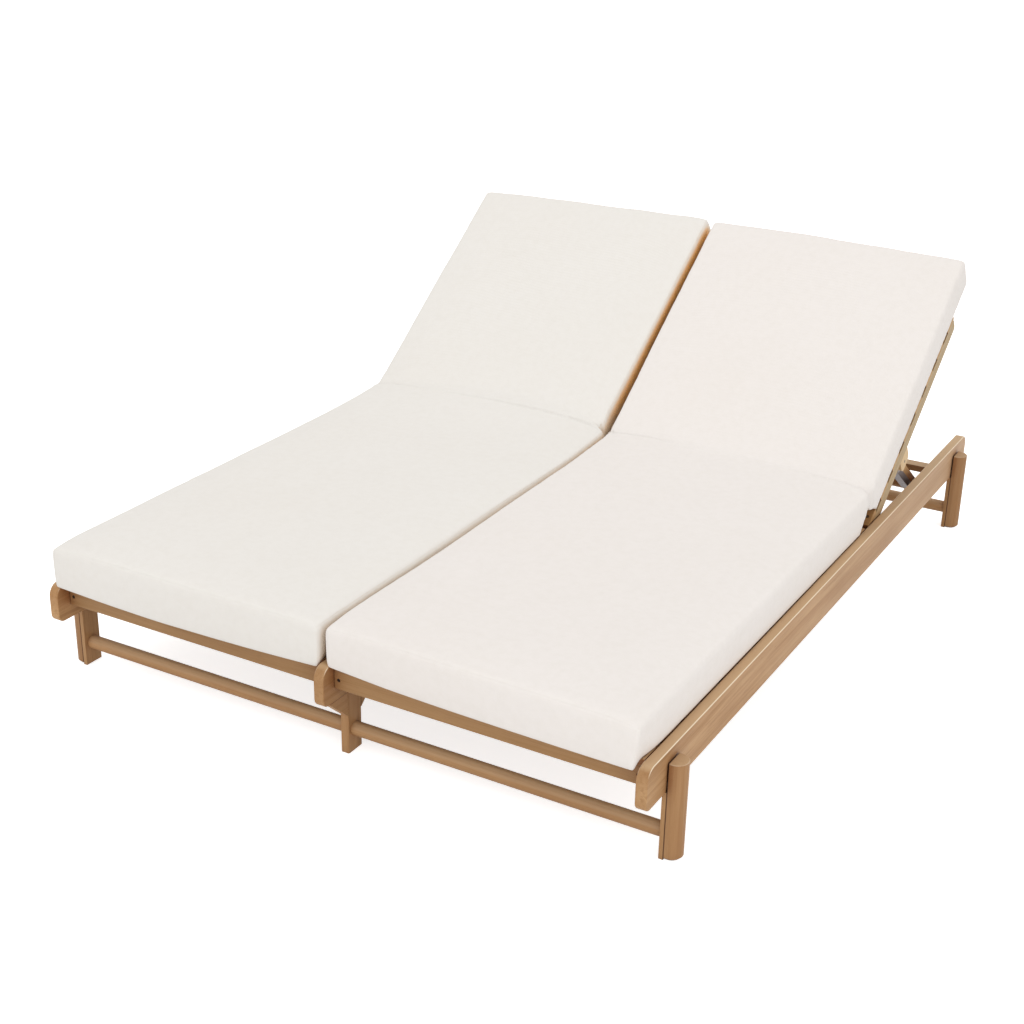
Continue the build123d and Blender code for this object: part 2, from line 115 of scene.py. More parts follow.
def mixColour(tree, share, first, second, mode="MIX"):
    node = addNode(tree, "ShaderNodeMix", data_type="RGBA", blend_type=mode, clamp_factor=True)
    # sockets 6, 7 and output 2 are the colour ones
    for socket, value in ((node.inputs["Factor"], share), (node.inputs[6], first), (node.inputs[7], second)):
        if isinstance(value, (int, float, tuple)):
            socket.default_value = value
        else:
            join(tree, value, socket)
    return node.outputs[2]


def remap(tree, value, low, high, newLow=0.0, newHigh=1.0):
    node = addNode(tree, "ShaderNodeMapRange", {"From Min": low, "From Max": high,
                                                "To Min": newLow, "To Max": newHigh})
    join(tree, value, node.inputs["Value"])
    return node.outputs["Result"]


def colour(red, green, blue):
    # 0 to 255 as on a screen, to the linear values that Blender uses
    parts = []
    for value in (red, green, blue):
        share = value / 255
        parts.append(share / 12.92 if share <= 0.04045 else ((share + 0.055) / 1.055) ** 2.4)
    return (*parts, 1.0)


# Wood grain, shared by every timber material

woodLook = {
    "pale": colour(197, 156, 111),
    "middle": colour(181, 138, 93),
    "deep": colour(153, 109, 67),
    "vein": colour(118, 77, 42),
    "knot": colour(84, 50, 28),
    # paler colour for upward faces: partly real bleaching, partly painted top light
    "bleachedAndLitTop": colour(212, 180, 140),
    "shade": (0.50, 0.28, 0.13, 1.0),
    # dark colour of joint lines, also used as painted shade in crevices
    "joint": colour(52, 22, 8),
    # painted highlight colour for eased edges
    "edge": colour(240, 222, 194),
    "bump": 0.10,
    "bumpHeight": 0.002,
    "roughness": 0.56,
    "specular": 0.32,
    # noise scales along the grain and twice across it
    "bandScale": (1.3, 22.0, 22.0),
    "streakScale": (3.5, 120.0, 120.0),
    "fibreScale": (14.0, 620.0, 620.0),
    "cloudScale": (2.2, 5.0, 5.0),
    "poreScale": (26.0, 900.0, 900.0),
    "knotScale": (3.1, 9.0, 9.0),
    # how far each board's pattern lies from the next board's
    "boardShift": (3.7, 1.31, 2.17),
    "paintedShadeReach": 0.12,
    "creviceShadeReach": 0.010,
    # the floor's light on the wood: full up to the first height, none above the second
    "floorLight": (0.02, 0.13),
}


def makeWoodGroup(look):
    group, start, end = newGroup("timberGrain", [
        ("Along", "NodeSocketVector", None),
        ("Board", "NodeSocketFloat", 0.0),
        ("Warmth", "NodeSocketFloat", 0.5),
        ("Knots", "NodeSocketFloat", 0.5),
    ], [("Color", "NodeSocketColor"), ("Roughness", "NodeSocketFloat"), ("Height", "NodeSocketFloat")])
    tree = group
    shift = addNode(tree, "ShaderNodeCombineXYZ")
    for socket, amount in zip(shift.inputs, look["boardShift"]):
        join(tree, mathNode(tree, "MULTIPLY", start.outputs["Board"], amount), socket)
    moved = addNode(tree, "ShaderNodeVectorMath", operation="ADD")
    join(tree, start.outputs["Along"], moved.inputs[0])
    join(tree, shift.outputs[0], moved.inputs[1])
    place = moved.outputs[0]

    def stretched(scale, detail, distortion=0.0):
        scaled = addNode(tree, "ShaderNodeVectorMath", operation="MULTIPLY")
        join(tree, place, scaled.inputs[0])
        scaled.inputs[1].default_value = scale
        texture = addNode(tree, "ShaderNodeTexNoise", {"Scale": 1.0, "Detail": detail, "Roughness": 0.55,
                                                       "Distortion": distortion})
        join(tree, scaled.outputs[0], texture.inputs["Vector"])
        return texture.outputs["Fac"]

    bands = stretched(look["bandScale"], 4.0, 0.6)
    streaks = stretched(look["streakScale"], 5.0, 0.3)
    fibres = stretched(look["fibreScale"], 3.0)
    cloudy = stretched(look["cloudScale"], 3.0)
    pores = stretched(look["poreScale"], 1.0)

    # knots: a few dark ovals, each with a softer halo
    knotSpace = addNode(tree, "ShaderNodeVectorMath", operation="MULTIPLY")
    join(tree, place, knotSpace.inputs[0])
    knotSpace.inputs[1].default_value = look["knotScale"]
    cells = addNode(tree, "ShaderNodeTexVoronoi", {"Scale": 1.0, "Randomness": 1.0}, feature="F1")
    join(tree, knotSpace.outputs[0], cells.inputs["Vector"])
    chosen = addNode(tree, "ShaderNodeTexWhiteNoise", noise_dimensions="3D")
    join(tree, cells.outputs["Position"], chosen.inputs["Vector"])
    present = mathNode(tree, "LESS_THAN", chosen.outputs["Value"],
                       mathNode(tree, "MULTIPLY", start.outputs["Knots"], 0.5))
    core = mathNode(tree, "MULTIPLY", remap(tree, cells.outputs["Distance"], 0.16, 0.04), present)
    halo = mathNode(tree, "MULTIPLY", remap(tree, cells.outputs["Distance"], 0.42, 0.10), present)

    tone = mixColour(tree, remap(tree, bands, 0.36, 0.64), look["middle"], look["pale"])
    tone = mixColour(tree, remap(tree, streaks, 0.48, 0.72, 0.0, 0.55), tone, look["deep"])
    tone = mixColour(tree, remap(tree, cloudy, 0.42, 0.72, 0.0, 0.60), tone, look["deep"])
    tone = mixColour(tree, remap(tree, pores, 0.62, 0.74, 0.0, 0.35), tone, look["vein"])
    tone = mixColour(tree, remap(tree, fibres, 0.35, 0.70, 0.0, 0.16), tone, look["vein"])
    tone = mixColour(tree, mathNode(tree, "MULTIPLY", halo, 0.45), tone, look["deep"])
    tone = mixColour(tree, mathNode(tree, "MULTIPLY", core, 0.85), tone, look["knot"])
    boardNoise = addNode(tree, "ShaderNodeTexWhiteNoise", noise_dimensions="1D")
    join(tree, start.outputs["Board"], boardNoise.inputs["W"])
    shade = addNode(tree, "ShaderNodeHueSaturation", {"Hue": 0.5, "Saturation": 1.0, "Fac": 1.0})
    join(tree, remap(tree, boardNoise.outputs["Value"], 0.0, 1.0, 0.90, 1.09), shade.inputs["Value"])
    join(tree, remap(tree, start.outputs["Warmth"], 0.0, 1.0, 0.86, 1.16), shade.inputs["Saturation"])
    join(tree, tone, shade.inputs["Color"])
    join(tree, shade.outputs["Color"], end.inputs["Color"])

    rough = remap(tree, streaks, 0.3, 0.8, look["roughness"] - 0.05, look["roughness"] + 0.10)
    join(tree, rough, end.inputs["Roughness"])
    height = mathNode(tree, "MULTIPLY", fibres, 0.35)
    height = mathNode(tree, "ADD", height, mathNode(tree, "MULTIPLY", streaks, 0.5))
    height = mathNode(tree, "SUBTRACT", height, remap(tree, pores, 0.62, 0.74, 0.0, 0.6))
    height = mathNode(tree, "SUBTRACT", height, mathNode(tree, "MULTIPLY", core, 0.5))
    join(tree, height, end.inputs["Height"])
    return group


woodGroup = makeWoodGroup(woodLook)


def makeBleachAndLightGroup(look):
    # upper faces are mixed to a paler colour, partly real bleaching and partly painted top light; sheltered
    # places get painted shade, crevices and joints get painted shade and eased edges get a painted highlight
    group, start, end = newGroup("timberBleachAndLight", [
        ("Color", "NodeSocketColor", None),
        ("Bleach And Top Light", "NodeSocketFloat", 0.5),
        ("Edge X", "NodeSocketFloat", 0.0),
        ("Edge Y", "NodeSocketFloat", 0.0),
    ], [("Color", "NodeSocketColor")])
    tree = group
    wide = addNode(tree, "ShaderNodeAmbientOcclusion", {"Distance": look["paintedShadeReach"]}, samples=4)
    tight = addNode(tree, "ShaderNodeAmbientOcclusion", {"Distance": look["creviceShadeReach"]}, samples=4)
    place = addNode(tree, "ShaderNodeNewGeometry")
    facing = addNode(tree, "ShaderNodeSeparateXYZ")
    join(tree, place.outputs["Normal"], facing.inputs[0])
    upright = facing.outputs["Z"]

    def easedEdge(axis):
        # eased edges are where the surface turns from upward to sideways
        turning = mathNode(tree, "MULTIPLY", mathNode(tree, "ABSOLUTE", facing.outputs[axis]), upright)
        return mathNode(tree, "MULTIPLY", remap(tree, turning, 0.22, 0.44), start.outputs["Edge " + axis])

    # upward faces go paler: partly real bleaching, partly painted top light
    bleachAndTopLightMask = mathNode(tree, "MULTIPLY", remap(tree, upright, 0.75, 0.97), start.outputs["Bleach And Top Light"])
    tone = mixColour(tree, bleachAndTopLightMask, start.outputs["Color"], look["bleachedAndLitTop"])
    # painted shade where the wide AO finds surfaces nearby, weaker on upward faces
    paintedShade = mathNode(tree, "MULTIPLY", remap(tree, wide.outputs["AO"], 0.85, 0.25),
                         remap(tree, upright, 0.3, 0.95, 0.95, 0.35))
    # the pale floor lights what stands on it
    spot = addNode(tree, "ShaderNodeSeparateXYZ")
    join(tree, place.outputs["Position"], spot.inputs[0])
    fromFloor = remap(tree, spot.outputs["Z"], *look["floorLight"], 0.15, 1.0)
    paintedShade = mathNode(tree, "MULTIPLY", paintedShade, fromFloor)
    tone = mixColour(tree, paintedShade, tone, look["shade"], "MULTIPLY")
    # painted shade in crevices and along joints, where the tight AO finds surfaces close by
    joint = remap(tree, tight.outputs["AO"], 0.50, 0.10)
    tone = mixColour(tree, mathNode(tree, "MULTIPLY", joint, 0.9), tone, look["joint"])
    # painted highlight along eased edges, kept out of crevices
    edgeHighlight = mathNode(tree, "MAXIMUM", easedEdge("X"), easedEdge("Y"))
    edgeHighlight = mathNode(tree, "MULTIPLY", edgeHighlight, remap(tree, tight.outputs["AO"], 0.55, 0.9))
    tone = mixColour(tree, edgeHighlight, tone, look["edge"])
    join(tree, tone, end.inputs["Color"])
    return group


bleachAndLightGroup = makeBleachAndLightGroup(woodLook)

leanAngle = math.radians(35.6)
propAngle = math.radians(-34.0)
grainTurns = {
    "width": (0.0, 0.0, 0.0),
    "length": (0.0, 0.0, -math.pi / 2),
    "upright": (0.0, math.pi / 2, 0.0),
}


def makeTimber(name, direction, board, knots=0.4, lean=0.0, boardPitch=None, tint=None, bleachAndTopLight=0.55,
               edge=(0.0, 0.0), fade=None, joint=None):
    material = bpy.data.materials.new(name)
    material.use_nodes = True
    tree = material.node_tree
    shader = tree.nodes["Principled BSDF"]
    shader.inputs["Specular IOR Level"].default_value = woodLook["specular"]
    place = addNode(tree, "ShaderNodeTexCoord")
    level = addNode(tree, "ShaderNodeMapping", vector_type="POINT")
    level.inputs["Rotation"].default_value = (-lean, 0.0, 0.0)
    join(tree, place.outputs["Object"], level.inputs["Vector"])
    turned = addNode(tree, "ShaderNodeMapping", vector_type="POINT")
    turned.inputs["Rotation"].default_value = grainTurns[direction]
    join(tree, level.outputs["Vector"], turned.inputs["Vector"])
    grain = addNode(tree, "ShaderNodeGroup", node_tree=woodGroup)
    grain.inputs["Board"].default_value = board
    grain.inputs["Warmth"].default_value = 0.5
    grain.inputs["Knots"].default_value = knots
    join(tree, turned.outputs["Vector"], grain.inputs["Along"])
    if boardPitch:
        # each slat of a row is a board of its own
        parts = addNode(tree, "ShaderNodeSeparateXYZ")
        join(tree, level.outputs["Vector"], parts.inputs[0])
        firstAt, pitch = boardPitch
        row = mathNode(tree, "SUBTRACT", parts.outputs["Y"], firstAt)
        row = mathNode(tree, "FLOOR", mathNode(tree, "DIVIDE", row, pitch))
        row = mathNode(tree, "ADD", row, board)
        bay = mathNode(tree, "MULTIPLY", mathNode(tree, "SIGN", parts.outputs["X"]), 31.0)
        join(tree, mathNode(tree, "ADD", row, bay), grain.inputs["Board"])
    tone = grain.outputs["Color"]
    if tint:
        tone = mixColour(tree, tint[1], tone, tint[0])
    if fade:
        # paler and greyer towards the head end
        faded, fromY, toY, share = fade
        spot = addNode(tree, "ShaderNodeSeparateXYZ")
        join(tree, place.outputs["Object"], spot.inputs[0])
        tone = mixColour(tree, remap(tree, spot.outputs["Y"], fromY, toY, 0.0, share), tone, faded)
    # bleaching with painted top light, painted shade and painted edge highlights
    bleachAndLight = addNode(tree, "ShaderNodeGroup", node_tree=bleachAndLightGroup)
    bleachAndLight.inputs["Bleach And Top Light"].default_value = bleachAndTopLight
    bleachAndLight.inputs["Edge X"].default_value = edge[0]
    bleachAndLight.inputs["Edge Y"].default_value = edge[1]
    join(tree, tone, bleachAndLight.inputs["Color"])
    tone = bleachAndLight.outputs["Color"]
    if joint:
        # the dark line between two boards that touch
        spot = addNode(tree, "ShaderNodeSeparateXYZ")
        join(tree, place.outputs["Object"], spot.inputs[0])
        axis, spotAt, half, share = joint
        away = mathNode(tree, "SUBTRACT", mathNode(tree, "ABSOLUTE", spot.outputs[axis]), spotAt)
        line = remap(tree, mathNode(tree, "ABSOLUTE", away), half, half / 2, 0.0, share)
        tone = mixColour(tree, line, tone, woodLook["joint"])
    join(tree, tone, shader.inputs["Base Color"])
    join(tree, grain.outputs["Roughness"], shader.inputs["Roughness"])
    bump = addNode(tree, "ShaderNodeBump", {"Strength": woodLook["bump"], "Distance": woodLook["bumpHeight"]})
    join(tree, grain.outputs["Height"], bump.inputs["Height"])
    join(tree, bump.outputs["Normal"], shader.inputs["Normal"])
    return material


def dress(node, material):
    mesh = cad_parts[node].data
    mesh.materials.clear()
    mesh.materials.append(material)


hingePlace = Vector((0.0, 0.2616, 0.202))
sides = ("left", "right")
# each node's grain direction, board number, share of knots and lean
timberNodes = {
    "rail_center": ("length", 0.7, 0.45, 0.0),
    "leg_center_front": ("upright", 4.4, 0.3, 0.0),
    "leg_center_rear": ("upright", 5.9, 0.3, 0.0),
    "leg_center_gussets": ("length", 8.3, 0.3, 0.0),
    "leg_center_pins": ("upright", 9.1, 0.0, 0.0),
}
# the same for the boards of one bay, with the step from the bay's first board number
sideBoards = (
    ("cross_rail_front", "width", 5.2, 0.3, 0.0),
    ("cross_rail_middle", "width", 6.4, 0.3, 0.0),
    ("cross_rail_rear", "width", 7.7, 0.3, 0.0),
    ("seat_ledgers", "length", 8.6, 0.3, 0.0),
    ("prop_racks", "length", 9.5, 0.2, 0.0),
    ("back_stile_outer", "length", 10.2, 0.3, leanAngle),
    ("back_stile_inner", "length", 11.6, 0.3, leanAngle),
    ("prop_blocks", "length", 12.9, 0.1, leanAngle),
    ("prop_arms", "length", 13.3, 0.2, propAngle),
    ("prop_bar", "width", 14.8, 0.3, 0.0),
)
for index, side in enumerate(sides):
    first = 20.0 + 17.0 * index
    timberNodes["rail_" + side] = ("length", first + 0.3, 0.35, 0.0)
    for rowIndex, row in enumerate(("front", "rear")):
        step = first + 1.7 * rowIndex
        timberNodes["leg_post_%s_%s" % (row, side)] = ("upright", step + 1.1, 0.5, 0.0)
        timberNodes["leg_block_%s_%s" % (row, side)] = ("upright", step + 2.3, 0.2, 0.0)
        timberNodes["stretcher_%s_%s" % (row, side)] = ("width", step + 3.1, 0.75, 0.0)
    for stem, direction, step, knots, lean in sideBoards:
        timberNodes[stem + "_" + side] = (direction, first + step, knots, lean)
# What sets some boards apart in the photograph: tints as (colour, share), fades as (colour, from y, to y,
# share), painted highlights on eased edges as shares on faces that turn towards x and y, joint lines as (axis,
# place along it, half the line's width, share)
legJoint = 0.7025
railBottom = 0.142
timberLooks = {
    # rails: painted highlight on the outer top edges, and paler tops from bleaching with painted top light
    "rail_": {"fade": (colour(200, 170, 140), -0.7, 0.9, 0.42), "edge": (0.95, 0.0), "bleachAndTopLight": 0.75},
    "back_stile": {"tint": (colour(176, 158, 120), 0.65), "bleachAndTopLight": 0.1},
    "prop_blocks": {"tint": (colour(224, 196, 150), 0.75), "bleachAndTopLight": 0.1},
    "prop_arms": {"tint": (colour(200, 164, 106), 0.5), "bleachAndTopLight": 0.0},
    "cross_rail_front": {"tint": (colour(142, 108, 68), 0.5), "bleachAndTopLight": 0.2, "edge": (0.0, 0.25)},
    # the rear cross rail's dark tint is painted shade under the back, and its high bleach is painted top light
    "cross_rail_rear": {"tint": (colour(120, 84, 44), 0.6), "bleachAndTopLight": 0.9, "edge": (0.0, 0.3)},
    "leg_post": {"tint": (colour(150, 108, 68), 0.55), "bleachAndTopLight": 0.5, "edge": (0.35, 0.35),
                 "joint": ("X", legJoint, 0.0016, 0.75)},
    "leg_block": {"joint": ("X", legJoint, 0.0016, 0.75)},
    "leg_center": {"tint": (colour(168, 126, 84), 0.35), "joint": ("Z", railBottom, 0.0020, 0.75)},
    # the stretchers' bleach is painted top light and their edge share a painted highlight
    "stretcher": {"tint": (colour(176, 134, 92), 0.3), "bleachAndTopLight": 0.5, "edge": (0.0, 0.12)},
}
for node, (direction, board, knots, lean) in timberNodes.items():
    extra = next((value for start, value in timberLooks.items() if node.startswith(start)), {})
    dress(node, makeTimber("timber_" + node, direction, board, knots=knots, lean=lean, **extra))
# where the first slat of a row starts, and the row's pitch
seatRow = (-0.9670, 0.08667)
hingeAlong = hingePlace.y * math.cos(leanAngle) + hingePlace.z * math.sin(leanAngle)
backRow = (hingeAlong - 0.0135, 0.086)
for index, side in enumerate(sides):
    seat = makeTimber("timber_seat_slats_" + side, "width", 60.0 + index, knots=0.3, boardPitch=seatRow)
    dress("seat_slats_" + side, seat)
    back = makeTimber("timber_back_slats_" + side, "width", 90.0 + index, knots=0.3, lean=leanAngle,
                      boardPitch=backRow, tint=(colour(190, 156, 96), 0.35), bleachAndTopLight=0.1)
    dress("back_slats_" + side, back)
print("timber dressed")


# Metal

metalLook = {
    "plateColour": colour(118, 110, 112),
    "boltColour": colour(196, 196, 200),
    "pinColour": colour(96, 78, 60),
    "screwColour": colour(52, 42, 36),
    "plateRoughness": 0.42,
    "boltRoughness": 0.28,
    "screwRoughness": 0.5,
    "brushStretch": (1.0, 40.0, 600.0),
    "brushScale": 6.0,
    "markScale": 90.0,
    "markShade": 0.72,
    "bump": 0.06,
    "bumpHeight": 0.0006,
}


def makeMetal(name, tint, roughness, metallic=1.0):
    material = bpy.data.materials.new(name)
    material.use_nodes = True
    tree = material.node_tree
    shader = tree.nodes["Principled BSDF"]
    shader.inputs["Metallic"].default_value = metallic
    place = addNode(tree, "ShaderNodeTexCoord")
    stretch = addNode(tree, "ShaderNodeMapping")
    stretch.inputs["Scale"].default_value = metalLook["brushStretch"]
    join(tree, place.outputs["Object"], stretch.inputs["Vector"])
    brush = addNode(tree, "ShaderNodeTexNoise", {"Scale": metalLook["brushScale"], "Detail": 4.0,
                                                 "Roughness": 0.6})
    join(tree, stretch.outputs["Vector"], brush.inputs["Vector"])
    marks = addNode(tree, "ShaderNodeTexNoise", {"Scale": metalLook["markScale"], "Detail": 5.0,
                                                 "Roughness": 0.65})
    join(tree, place.outputs["Object"], marks.inputs["Vector"])
    darker = tuple(channel * metalLook["markShade"] for channel in tint[:3]) + (1.0,)
    base = mixColour(tree, remap(tree, marks.outputs["Fac"], 0.4, 0.7, 0.0, 0.6), tint, darker)
    join(tree, base, shader.inputs["Base Color"])
    rough = remap(tree, brush.outputs["Fac"], 0.3, 0.7, roughness - 0.08, roughness + 0.12)
    join(tree, rough, shader.inputs["Roughness"])
    bump = addNode(tree, "ShaderNodeBump", {"Strength": metalLook["bump"], "Distance": metalLook["bumpHeight"]})
    join(tree, brush.outputs["Fac"], bump.inputs["Height"])
    join(tree, bump.outputs["Normal"], shader.inputs["Normal"])
    return material


plateMetal = makeMetal("galvanisedPlate", metalLook["plateColour"], metalLook["plateRoughness"], 0.55)
boltMetal = makeMetal("brightBolt", metalLook["boltColour"], metalLook["boltRoughness"])
screwMetal = makeMetal("darkScrew", metalLook["screwColour"], metalLook["screwRoughness"], 0.6)
pinMetal = makeMetal("dullPin", metalLook["pinColour"], metalLook["plateRoughness"], 0.7)
for side in sides:
    dress("prop_plates_" + side, plateMetal)
    dress("prop_plate_screws_" + side, boltMetal)
    dress("prop_bolts_" + side, pinMetal)
    dress("back_slat_screws_" + side, pinMetal)
dress("seat_slat_screws", boltMetal)
for node in ("leg_bolts", "leg_spacers"):
    dress(node, pinMetal)
for node in ("hinge_bolts", "cross_rail_screws"):
    dress(node, screwMetal)
print("metal dressed")


# Cushions: one folding box cushion to a bay. Its shape is given in places of a strip that folds with it: s
# runs along it from the hinge, towards the head, and t stands square to it, from the hinge's level.

cushionShape = {
    "inner": 0.0105,
    "outer": 0.6745,
    "footEnd": -0.9730,
    "headEnd": 0.7650,
    "underSeat": 0.0264,
    "footThickness": 0.0840,
    "foldThickness": 0.0900,
    "headThickness": 0.0905,
    "edgeRadius": 0.012,
    "underRadius": 0.005,
    "voxel": 0.0085,
    "pressure": 4.0,
    "frames": 14,
    "cap": 0.008,
    "pinReach": 0.013,
    "bulgeReach": 0.15,
    "foldDepth": 0.001,
    "foldWidth": 0.010,
    "foldSoft": 0.015,
    "foldWindow": 0.035,
    "foldRows": 28,
    "foldReach": 0.30,
    "notchDepth": 0.008,
    "notchWidth": 0.013,
    "notchReach": 0.02,
    "wrinkle": 0.0024,
    "wrinkleCount": 7,
    "wrinkleReach": 0.035,
    "wrinkleStart": 0.010,
    "sidePleat": 0.0026,
    "pleatPitch": 0.013,
    "pleatReach": 0.024,
    "pleatDepth": 0.010,
    "wedgeHeight": 0.060,
    "wedgeShift": 0.014,
    "wedgeSeat": 0.052,
    "wedgeBack": 0.060,
    "hangReach": 0.017,
    "tuckReach": 0.055,
    "droopReach": 0.050,
    "middleGap": 0.0065,
    "meetingGap": 0.0012,
    "foldSpan": (0.02, 0.05),
    "seamRadius": 0.0012,
    "seamSunk": 0.0008,
    "seamStep": 0.006,
    "seamSides": 6,
}
clothSettings = {
    "quality": 3,
    "mass": 0.4,
    "tension_stiffness": 18,
    "compression_stiffness": 18,
    "shear_stiffness": 8,
    "bending_stiffness": 1.5,
}
# Where each cushion really lies. Edges and raises of the top are given at the foot, before the fold, after it
# and at the head. Ends, bulges and hangs run from the inner side to the outer one. Pinches, tucks under the
# foot's lower corners and droops of its upper ones are at the inner and the outer side. Bow is the head end's.
cushionPlace = {
    "left": {"inner": (0.010, 0.009, 0.024, 0.018), "outer": (0.685, 0.688, 0.693, 0.703),
             "innerRaise": (0.002, 0.001, 0.001, 0.001), "outerRaise": (0.010, 0.009, 0.006, 0.003),
             "footEnd": (-0.967, -0.980), "headEnd": (0.781, 0.767),
             "bulge": (0.008, 0.023, 0.024, 0.022, 0.015, 0.005),
             "hang": (0.011, 0.016, 0.018, 0.018, 0.013, 0.005),
             "pinch": (1.0, 0.1), "tuck": (0.002, 0.0), "droop": (0.002, 0.006), "bow": 0.003},
    "right": {"inner": (0.004, 0.000, -0.002, -0.002), "outer": (0.6790, 0.6810, 0.6810, 0.6815),
              "innerRaise": (0.005, 0.004, 0.002, 0.002), "outerRaise": (0.002, 0.001, 0.001, 0.003),
              "footEnd": (-0.967, -0.979), "headEnd": (0.774, 0.761),
              "bulge": (0.005, 0.010, 0.007, 0.004, 0.007, 0.003),
              "hang": (0.003, 0.011, 0.014, 0.015, 0.015, 0.014),
              "pinch": (0.3, 1.0), "tuck": (0.0, 0.009), "droop": (0.005, 0.005), "bow": 0.006},
}
halfLean = leanAngle / 2
foldSlope = math.tan(halfLean)


def topHeight(shape, s):
    # height of the cushion's top in the strip, above the hinge's level
    foot = shape["footEnd"] - hingePlace.y
    if s < 0:
        share = min(1.0, max(0.0, s / foot))
        thickness = shape["foldThickness"] + (shape["footThickness"] - shape["foldThickness"]) * share
    else:
        share = min(1.0, s / shape["headEnd"])
        thickness = shape["foldThickness"] + (shape["headThickness"] - shape["foldThickness"]) * share
    return shape["underSeat"] + thickness


def stripPoint(x, s, t):
    # a place in the strip, as a world place
    if s < 0:
        return Vector((x, hingePlace.y + s, hingePlace.z + t))
    return Vector((x, hingePlace.y + s * math.cos(leanAngle) - t * math.sin(leanAngle),
                   hingePlace.z + s * math.sin(leanAngle) + t * math.cos(leanAngle)))


def startCushion(name, shape, sign):
    foot = shape["footEnd"] - hingePlace.y
    under = shape["underSeat"]
    foldTop = topHeight(shape, -1e-6)
    corners = [(foot, under), (-under * foldSlope, under), (shape["headEnd"], under),
               (shape["headEnd"], topHeight(shape, shape["headEnd"])), (-foldTop * foldSlope, foldTop),
               (foot, topHeight(shape, foot))]
    mesh = bpy.data.meshes.new(name)
    build = bmesh.new()
    near = [build.verts.new(stripPoint(sign * shape["inner"], s, t)) for s, t in corners]
    far = [build.verts.new(stripPoint(sign * shape["outer"], s, t)) for s, t in corners]
    build.faces.new(near[::-1])
    build.faces.new(far)
    count = len(corners)
    for index in range(count):
        after = (index + 1) % count
        build.faces.new((near[index], near[after], far[after], far[index]))
    bmesh.ops.recalc_face_normals(build, faces=build.faces)
    folds = {near[4], far[4], near[1], far[1]}
    beneath = set(near[:3] + far[:3])
    rounded = [edge for edge in build.edges if not all(corner in folds for corner in edge.verts)]
    lower = [edge for edge in rounded if all(corner in beneath for corner in edge.verts)]
    upper = [edge for edge in rounded if edge not in lower]
    for group, radius, steps in ((lower, "underRadius", 2), (upper, "edgeRadius", 3)):
        group = [edge for edge in group if edge.is_valid]
        bmesh.ops.bevel(build, geom=group, offset=shape[radius], segments=steps, profile=0.5, affect="EDGES")
    build.to_mesh(mesh)
    build.free()
    cushion = bpy.data.objects.new(name, mesh)
    scene.collection.objects.link(cushion)
    return cushion


def applyModifiers(piece):
    graph = bpy.context.evaluated_depsgraph_get()
    settled = bpy.data.meshes.new_from_object(piece.evaluated_get(graph))
    piece.modifiers.clear()
    old = piece.data
    piece.data = settled
    bpy.data.meshes.remove(old)


def meshPoints(mesh, kind="co"):
    points = np.zeros(len(mesh.vertices) * 3)
    mesh.vertices.foreach_get(kind, points)
    return points.reshape(-1, 3)


def setPoints(mesh, points):
    mesh.vertices.foreach_set("co", points.astype(np.float32).ravel())
    mesh.update()


def intoStrip(points):
    # places along and above the strip, and the distance from the fold's plane
    y = points[:, 1] - hingePlace.y
    z = points[:, 2] - hingePlace.z
    fromFold = y * math.cos(halfLean) + z * math.sin(halfLean)
    beyond = fromFold > 0
    s = np.where(beyond, y * math.cos(leanAngle) + z * math.sin(leanAngle), y)
    t = np.where(beyond, -y * math.sin(leanAngle) + z * math.cos(leanAngle), z)
    return s, t, fromFold


def stripShares(points, shape):
    # shares across (0 inner, 1 outer), along (0 foot, 1 head) and up (0 underside, 1 top)
    s, t, fromFold = intoStrip(points)
    across = np.clip((np.abs(points[:, 0]) - shape["inner"]) / (shape["outer"] - shape["inner"]), 0, 1)
    foot = shape["footEnd"] - hingePlace.y
    along = np.clip((s - foot) / (shape["headEnd"] - foot), 0, 1)
    top = np.where(s < 0, shape["underSeat"] + shape["foldThickness"]
                   + (shape["footThickness"] - shape["foldThickness"]) * np.clip(s / foot, 0, 1),
                   shape["underSeat"] + shape["headThickness"])
    up = np.clip((t - shape["underSeat"]) / (top - shape["underSeat"]), 0, 1)
    return across, along, up, s, t, top, fromFold


def swell(cushion, shape):
    # cloth with air pressure inside: the underside and the seams stay, and the panels between them swell
    before = meshPoints(cushion.data)
    across, along, up, s, t, top, fromFold = stripShares(before, shape)
    reach = shape["pinReach"]
    foot = shape["footEnd"] - hingePlace.y
    width = shape["outer"] - shape["inner"]
    toSide = np.minimum(across, 1 - across) * width
    toEnd = np.minimum(s - foot, shape["headEnd"] - s)
    toTop = top - t
    # a seam is where two of the three are near
    nearSide, nearEnd, nearTop = toSide < reach, toEnd < reach, toTop < reach
    seam = (nearSide & nearTop) | (nearEnd & nearTop) | (nearSide & nearEnd)
    held = np.nonzero(seam | (t < shape["underSeat"] + reach / 2))[0]
    pinned = cushion.vertex_groups.new(name="resting")
    pinned.add([int(index) for index in held], 1.0, "REPLACE")
    cloth = cushion.modifiers.new("cloth", "CLOTH")
    settings = cloth.settings
    for key, value in clothSettings.items():
        setattr(settings, key, value)
    settings.use_pressure = True
    settings.uniform_pressure_force = shape["pressure"]
    settings.effector_weights.gravity = 0.0
    settings.vertex_group_mass = "resting"
    cloth.collision_settings.use_collision = False
    cloth.point_cache.frame_start = 1
    cloth.point_cache.frame_end = shape["frames"]
    for step in range(1, shape["frames"] + 1):
        scene.frame_set(step)
    applyModifiers(cushion)
    scene.frame_set(1)
    move = meshPoints(cushion.data) - before
    far = np.linalg.norm(move, axis=1)
    limit = shape["cap"]
    share = np.where(far > 1e-9, limit * np.tanh(far / limit) / np.maximum(far, 1e-9), 0.0)
    setPoints(cushion.data, before + move * share[:, None])


